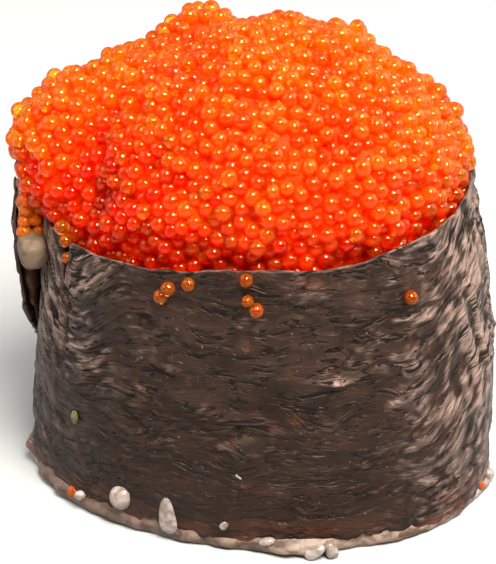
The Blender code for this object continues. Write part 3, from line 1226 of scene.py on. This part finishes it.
@dataclass
class RiceBlock:
    """The block of rice, with the uneven strip that shows under the seaweed.

    The profile is that of the strip, from the floor up: shares of the hem's height, and of the bulge.
    """

    plan: WrapPlan
    profile: Sequence[tuple[float, float]] = (
        (0.0, -0.3),
        (0.08, 0.35),
        (0.25, 0.85),
        (0.45, 1.0),
        (0.65, 0.9),
        (0.85, 0.5),
        (1.0, 0.1),
    )
    gap: float = 0.42
    top_drop: float = 5.5
    columns: int = 360
    lump_angle: float = 294.0
    lump_reach: float = 17.0
    lump_out: float = 1.5

    def bulge(self, angle: Array) -> Array:
        """Measures how far the strip stands out from the seaweed's inner face.

        Args:
            angle: Polar angles.

        Returns:
            The distance at each.
        """
        foot = self.plan.point(angle, 0.0 * angle, 0.0 * angle)
        lumps = 0.45 * noise_at(foot / 2.4, seed=12.0) + 0.5 * noise_at(foot / 6.0, seed=13.0)
        away = np.abs(turned_from(angle, self.lump_angle))
        return 0.45 + lumps + self.lump_out * smooth_step(1.0 - away / self.lump_reach)

    def build(self, finish: bpy.types.Material) -> None:
        """Makes the block.

        Args:
            finish: The rice's material.
        """
        angle = np.arange(self.columns) * 360.0 / self.columns
        hem = self.plan.hem(angle) + 0.5
        bulge = self.bulge(angle)
        foot = self.plan.point(angle, 0.0 * angle, 0.0 * angle)
        rings = []
        for share, out in self.profile:
            level = hem * share
            raised = foot + np.stack([0.0 * level, 0.0 * level, level], axis=-1)
            dents = 0.22 * noise_at(raised / 1.2, seed=14.0) * (share > 0.0)
            rings.append(self.plan.point(angle, level, bulge * out - 0.1 * (1.0 - out) + dents))
        for level in (hem + 0.8, self.plan.rim(angle) - self.top_drop):
            rings.append(self.plan.point(angle, level, np.full_like(angle, -self.gap)))
        block = mesh_object("rice_block", *closed_rings(rings), finish)
        settle(block, "rice", "rice")


@dataclass(frozen=True)
class Grain:
    """One grain or bit: its place on the wrap, how far out it lies, its size, tilt, roundness and taper."""

    angle: float
    height: float
    out: float
    length: float
    width: float
    depth: float
    tilt: float
    roundness: float = 1.0
    taper: float = 0.0


@dataclass
class Leftovers:
    """What sticks to the food: grains and specks, the grain in the open lap with a brown sheet under it that
    is painted light seen through the shaded seaweed, and green flecks.
    """

    plan: WrapPlan
    block: RiceBlock
    strip: SeaweedStrip
    pocket_grain: Grain = Grain(193.8, 29.3, 1.6, 3.7, 4.8, 3.1, 6.0, 0.6)
    # Heights of the brown sheet in the lap, painted light seen through the shaded seaweed.
    light_sheet_levels: tuple[float, float] = (13.5, 27.5)
    hem_grains: Sequence[Grain] = (
        Grain(220.0, 2.0, 0.6, 1.7, 1.2, 1.1, 60.0),
        Grain(234.0, 4.0, 0.3, 3.0, 2.8, 2.2, 8.0),
        Grain(250.0, 3.4, 0.15, 5.0, 2.1, 1.6, -3.0, 0.8, 0.3),
        Grain(269.0, 3.2, 0.15, 1.3, 0.9, 0.8, 35.0, 0.8),
        Grain(283.5, 1.7, 0.5, 1.9, 0.9, 1.0, 80.0, 0.8),
        Grain(298.0, 0.9, 1.35, 2.6, 1.4, 1.4, 60.0, 0.8, 0.3),
        Grain(302.5, 1.1, 1.35, 2.2, 1.4, 1.4, -20.0, 0.8, 0.3),
    )
    specks: Sequence[Grain] = (
        Grain(272.0, 9.9, 0.30, 0.9, 0.35, 0.3, -50.0),
        Grain(322.0, 11.9, 0.30, 1.0, 0.25, 0.3, 80.0),
    )
    flecks: Sequence[Grain] = (
        Grain(216.5, 12.0, 0.5, 1.9, 1.1, 0.35, 10.0),
        Grain(186.0, 35.6, 3.5, 2.2, 0.5, 0.5, 4.0),
    )
    spare_grains: int = 24
    seed: int = 5

    def shaped(self, grain: Grain) -> tuple[Array, Array]:
        """Shapes one grain, upright, and sets it on the wrap with its tilt.

        Args:
            grain: The grain.

        Returns:
            Its vertices and triangles.
        """
        points, faces = ball(3)
        points = np.sign(points) * np.abs(points) ** grain.roundness
        points = points * (1.0 + 0.06 * noise_at(points / 1.6, seed=grain.angle)[:, None])
        points[:, 0] *= 1.0 - grain.taper * points[:, 2]
        points = points * np.array([grain.width, grain.depth, grain.length]) / 2.0
        points[:, 0] += 0.16 * grain.width * (points[:, 2] / grain.length) ** 2
        tilt = math.radians(grain.tilt)
        across = points[:, 0] * math.cos(tilt) + points[:, 2] * math.sin(tilt)
        up = points[:, 2] * math.cos(tilt) - points[:, 0] * math.sin(tilt)
        angle, height = np.array([grain.angle]), np.array([grain.height])
        middle = self.plan.point(angle, height, np.array([grain.out]))[0]
        ahead = self.plan.point(angle + 0.5, height, np.array([grain.out]))[0]
        along = (ahead - middle) / np.linalg.norm(ahead - middle)
        outward = np.cross(along, (0.0, 0.0, 1.0))
        placed = middle + across[:, None] * along + points[:, 1, None] * outward
        placed[:, 2] = np.maximum(placed[:, 2] + up, 0.0)
        return placed, faces

    def joined(self, name: str, grains: Sequence[Grain], finish: bpy.types.Material, slot: str) -> None:
        """Joins grains into one piece.

        Args:
            name: The piece's name.
            grains: The grains.
            finish: Their material.
            slot: The record's material slot.
        """
        points, faces = [], []
        for grain in grains:
            placed, triangles = self.shaped(grain)
            faces.append(triangles + sum(len(p) for p in points))
            points.append(placed)
        settle(mesh_object(name, np.concatenate(points), np.concatenate(faces), finish), slot)

    def build(
        self,
        pale: bpy.types.Material,
        dull: bpy.types.Material,
        brown: bpy.types.Material,
        green: bpy.types.Material,
    ) -> None:
        """Makes the grains and the flecks.

        Args:
            pale: The grains' material.
            dull: The material of the grain in the lap.
            brown: The material of the sheet under that grain, painted light seen through the shaded seaweed.
            green: The flecks' material.
        """
        rng = np.random.default_rng(self.seed)
        spare = []
        for angle in np.linspace(352.0, 556.0, self.spare_grains):
            angle = angle + rng.uniform(-4.0, 4.0)
            out = float(self.block.bulge(np.array([angle]))[0]) - rng.uniform(0.2, 0.6)
            length, tilt = rng.uniform(2.2, 4.2), rng.uniform(55.0, 125.0)
            height = rng.uniform(0.95, 1.5)
            spare.append(Grain(angle, height, out, length, rng.uniform(1.3, 1.7), 1.3, tilt))
        self.joined("rice_grains", [*self.hem_grains, *self.specks, *spare], pale, "rice")
        self.joined("lap_grain", [self.pocket_grain], dull, "rice")
        self.build_light_sheet(brown)
        self.joined("green_flecks", self.flecks, green, "nori")

    def build_light_sheet(self, finish: bpy.types.Material) -> None:
        """Makes the brown sheet that fills the mouth of the lap below its grain: painted light that stands in
        for light seen through the shaded seaweed there.

        Args:
            finish: The paste's material.
        """
        around = np.radians(np.arange(0.0, 360.0, 15.0))
        wall = 0.35
        rings = []
        for height in np.linspace(self.light_sheet_levels[0], self.light_sheet_levels[1], 24):
            end = float(self.strip.end_angle(np.array(height)))
            mouth = float(self.strip.offset(np.array(end), np.array(height))) - 0.1
            outs = 0.5 * (wall + mouth) + 0.5 * (mouth - wall) * np.cos(around)
            angles = end - 4.0 + 4.2 * np.sin(around) + 0.8 * math.sin(1.7 * height)
            rings.append(self.plan.point(angles, np.full_like(angles, height), outs))
        settle(mesh_object("lap_light_sheet", *closed_rings(rings), finish), "rice")


@dataclass
class StrayRoe:
    """Single eggs stuck to the seaweed, in its tear, sunk into its hem and spilt into the open lap.

    The stuck, sunk and torn ones are given as angle, height and size against the usual one.
    """

    plan: WrapPlan
    radius: float = 0.84
    spilt_steps: tuple[float, float] = (3.3, 1.35)
    spilt_outs: tuple[float, float] = (1.05, 2.35)
    stuck: Sequence[tuple[float, float, float]] = (
        (245.0, 31.6, 1.0),
        (247.2, 32.7, 1.0),
        (253.5, 33.6, 1.0),
        (271.5, 34.7, 1.0),
        (272.0, 32.2, 0.9),
        (274.8, 31.2, 1.05),
        (320.5, 30.9, 1.0),
    )
    sunk: Sequence[tuple[float, float, float]] = ((216.0, 1.6, 0.95), (354.0, 1.4, 0.7))
    torn: Sequence[tuple[float, float, float]] = (
        (206.0, 34.6, 1.0),
        (208.6, 33.4, 0.95),
        (209.4, 31.4, 0.75),
    )
    pocket_angles: tuple[float, float] = (182.0, 193.0)
    pocket_levels: tuple[float, float] = (31.0, 35.6)
    # Size of the dark core, painted shade, against its clear egg.
    shade_core_share: float = 0.6
    seed: int = 21

    def build(
        self,
        clear: bpy.types.Material,
        full: bpy.types.Material,
        dull: bpy.types.Material,
        shade_core: bpy.types.Material,
    ) -> None:
        """Makes the eggs.

        Args:
            clear: The material of those on the seaweed and in its tear.
            full: The material of those in the lap.
            dull: The material of those sunk into the hem.
            shade_core: The material of the dark core inside the clear ones, painted shade for their
                dark-looking middle.
        """
        rng = np.random.default_rng(self.seed)
        stuck = [(angle, level, 0.3 + 0.7 * size * self.radius, size) for angle, level, size in self.stuck]
        torn = [(angle, level, 0.1, size) for angle, level, size in self.torn]
        spilt = []
        for level in np.arange(*self.pocket_levels, self.spilt_steps[1]):
            for angle in np.arange(*self.pocket_angles, self.spilt_steps[0]):
                around = angle + rng.uniform(-0.8, 0.8)
                for out in self.spilt_outs:
                    drawn = rng.uniform(-0.25, 0.25, 2)
                    spilt.append((around, level + drawn[0], out + drawn[1], rng.uniform(0.9, 1.06)))
        sunk = [(angle, level, 0.1, size) for angle, level, size in self.sunk]
        for name, places, finish, scale in (
            ("roe_stray", [*stuck, *torn], clear, 1.0),
            # Dark cores inside the clear stuck and torn eggs: painted shade for their dark-looking middle.
            ("roe_stray_shade_cores", [*stuck, *torn], shade_core, self.shade_core_share),
            ("roe_sunk", sunk, dull, 1.0),
            ("roe_spilt", spilt, full, 1.0),
        ):
            table = np.array(places)
            centres = self.plan.point(table[:, 0], table[:, 1], table[:, 2])
            shades = rng.uniform(0.2, 1.0, len(table))
            hidden = np.zeros(len(table), bool)
            radii = scale * self.radius * table[:, 3]
            settle(egg_cluster(name, centres, radii, shades, finish, rng, hidden), "roe")


@dataclass
class Studio:
    """A pale floor, soft lights and the camera. The aim and the distance are in millimetres."""

    aim: tuple[float, float, float] = (-0.42, -1.99, 24.78)
    distance: float = 450.0
    elevation: float = 30.0
    lens: float = 257.4
    front_fill: float = 0.06
    back_fill: float = 0.36
    brightest: tuple[float, float, float] = (-0.12, 0.62, 0.77)
    room_colour: Colour = (1.0, 0.97, 0.93)
    floor_colour: Colour = (0.34, 0.34, 0.335)
    floor_reach: float = 3000.0

    def light(
        self, name: str, place: tuple[float, float, float], size: float, power: float, colour: Colour
    ) -> None:
        """Hangs a round soft light that faces the food.

        Args:
            name: The light's name.
            place: Where it hangs, in millimetres.
            size: Its width, in millimetres.
            power: Its power in watts.
            colour: Its colour.
        """
        lamp = bpy.data.lights.new(name, "AREA")
        lamp.shape = "DISK"
        lamp.size = size * MM
        lamp.energy = power
        lamp.color = colour
        hung = bpy.data.objects.new(name, lamp)
        bpy.context.scene.collection.objects.link(hung)
        hung.location = Vector(place) * MM
        towards = Vector((0.0, 0.0, 30.0)) * MM - hung.location
        hung.rotation_euler = towards.to_track_quat("-Z", "Y").to_euler()

    def build(self) -> None:
        """Sets the camera, the lights, the world and the floor."""
        scene = bpy.context.scene
        scene.view_settings.view_transform = "Standard"
        e = math.radians(self.elevation)
        back = Vector((0.0, -math.cos(e), math.sin(e)))
        lens = bpy.data.cameras.new("camera")
        lens.lens = self.lens
        lens.sensor_width = 36.0
        lens.clip_start = 0.01
        camera = bpy.data.objects.new("camera", lens)
        scene.collection.objects.link(camera)
        camera.location = (Vector(self.aim) + back * self.distance) * MM
        camera.rotation_euler = (-back).to_track_quat("-Z", "Y").to_euler()
        scene.camera = camera
        self.room(scene)
        self.light("key", (95.0, -235.0, 430.0), 270.0, 8.2, (1.0, 0.97, 0.93))
        self.light("right", (400.0, 60.0, 330.0), 560.0, 3.3, (1.0, 0.98, 0.95))
        self.light("left", (-380.0, 0.0, 300.0), 460.0, 1.9, (1.0, 0.98, 0.95))
        self.floor()

    def room(self, scene: bpy.types.Scene) -> None:
        """Lights the room from above and behind, with a dimmer front.

        Args:
            scene: The scene that gets the world.
        """
        world = bpy.data.worlds.new("room")
        world.use_nodes = True
        nodes, links = world.node_tree.nodes, world.node_tree.links
        way = nodes.new("ShaderNodeTexCoord")
        facing = nodes.new("ShaderNodeVectorMath")
        facing.operation = "DOT_PRODUCT"
        facing.inputs[1].default_value = self.brightest
        ranged = nodes.new("ShaderNodeMapRange")
        ranged.interpolation_type = "SMOOTHSTEP"
        ranged.inputs["From Min"].default_value = 0.1
        ranged.inputs["From Max"].default_value = 0.85
        ranged.inputs["To Min"].default_value = self.front_fill
        ranged.inputs["To Max"].default_value = self.back_fill
        links.new(way.outputs["Generated"], facing.inputs[0])
        links.new(facing.outputs["Value"], ranged.inputs["Value"])
        background = nodes["Background"]
        background.inputs["Color"].default_value = (*self.room_colour, 1.0)
        links.new(ranged.outputs["Result"], background.inputs["Strength"])
        scene.world = world

    def floor(self) -> None:
        """Lays the pale floor."""
        made = bpy.data.materials.new("floor_finish")
        made.use_nodes = True
        shader = made.node_tree.nodes["Principled BSDF"]
        shader.inputs["Base Color"].default_value = (*self.floor_colour, 1.0)
        shader.inputs["Roughness"].default_value = 0.9
        corners = np.array([(-1.0, -1.0, 0.0), (1.0, -1.0, 0.0), (1.0, 1.0, 0.0), (-1.0, 1.0, 0.0)])
        mesh_object("floor", corners * self.floor_reach, np.array([[0, 1, 2, 3]]), made)


def main() -> None:
    """Builds every sub-assembly round the frame."""
    logging.basicConfig(level=logging.INFO, format="%(name)s %(message)s")
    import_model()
    plan = WrapPlan()
    Studio().build()
    # Four lit and shaded copies of one orange: painted shade in the red ones, painted light in the amber
    # ones.
    heap_colours = {
        Shade.RED: ((1.0, 0.125, 0.003), (0.88, 0.045, 0.001)),
        Shade.VERMILION: ((1.0, 0.20, 0.004), (1.0, 0.13, 0.002)),
        Shade.ORANGE: ((1.0, 0.30, 0.006), (1.0, 0.21, 0.003)),
        Shade.AMBER: ((1.0, 0.43, 0.010), (1.0, 0.29, 0.005)),
    }
    finishes = {
        shade: EggFinish(f"roe_{shade.value}_finish", bright, deep).build()
        for shade, (bright, deep) in heap_colours.items()
    }
    RoeHeap(plan, HeapShape(plan)).build(finishes)
    strip = SeaweedStrip(plan)
    strip.build(NoriFinish().build())
    block = RiceBlock(plan)
    pale, shade = (0.21, 0.143, 0.104), (0.060, 0.033, 0.021)
    block.build(RiceFinish("rice_finish", pale, shade, 0.4, 0.5, 0.3, shaded=(-0.024, 0.004)).build())
    grain = RiceFinish("grain_finish", (0.30, 0.25, 0.225), (0.15, 0.108, 0.084), 0.6, 0.25, 0.5)
    fleck = RiceFinish("fleck_finish", (0.13, 0.12, 0.018), (0.045, 0.036, 0.008), 0.2)
    lap = RiceFinish("lap_grain_finish", (0.135, 0.092, 0.058), (0.080, 0.050, 0.029), 0.3, 0.6, 0.25)
    # A brown sheet in the lap: painted light seen through the shaded seaweed.
    light_sheet = RiceFinish("lap_light_sheet_finish", (0.080, 0.033, 0.014), (0.030, 0.012, 0.005), 0.3, 0.5, 0.12)
    Leftovers(plan, block, strip).build(grain.build(), lap.build(), light_sheet.build(), fleck.build())
    clear = EggFinish("roe_stray_finish", (1.0, 0.29, 0.012), (1.0, 0.19, 0.006), clearness=0.90)
    full = EggFinish("roe_spilt_finish", (1.0, 0.25, 0.006), (1.0, 0.12, 0.002), clearness=0.7)
    dull = EggFinish("roe_sunk_finish", (0.34, 0.062, 0.010), (0.24, 0.045, 0.008), clearness=0.2)
    # Dark core of the clear stray eggs: painted shade.
    shade_core = EggFinish("roe_shade_core_finish", (0.14, 0.02, 0.006), (0.07, 0.012, 0.004), 0.0, 0.4, 0.1)
    StrayRoe(plan).build(clear.build(), full.build(), dull.build(), shade_core.build())


if __name__ == "__main__":
    main()
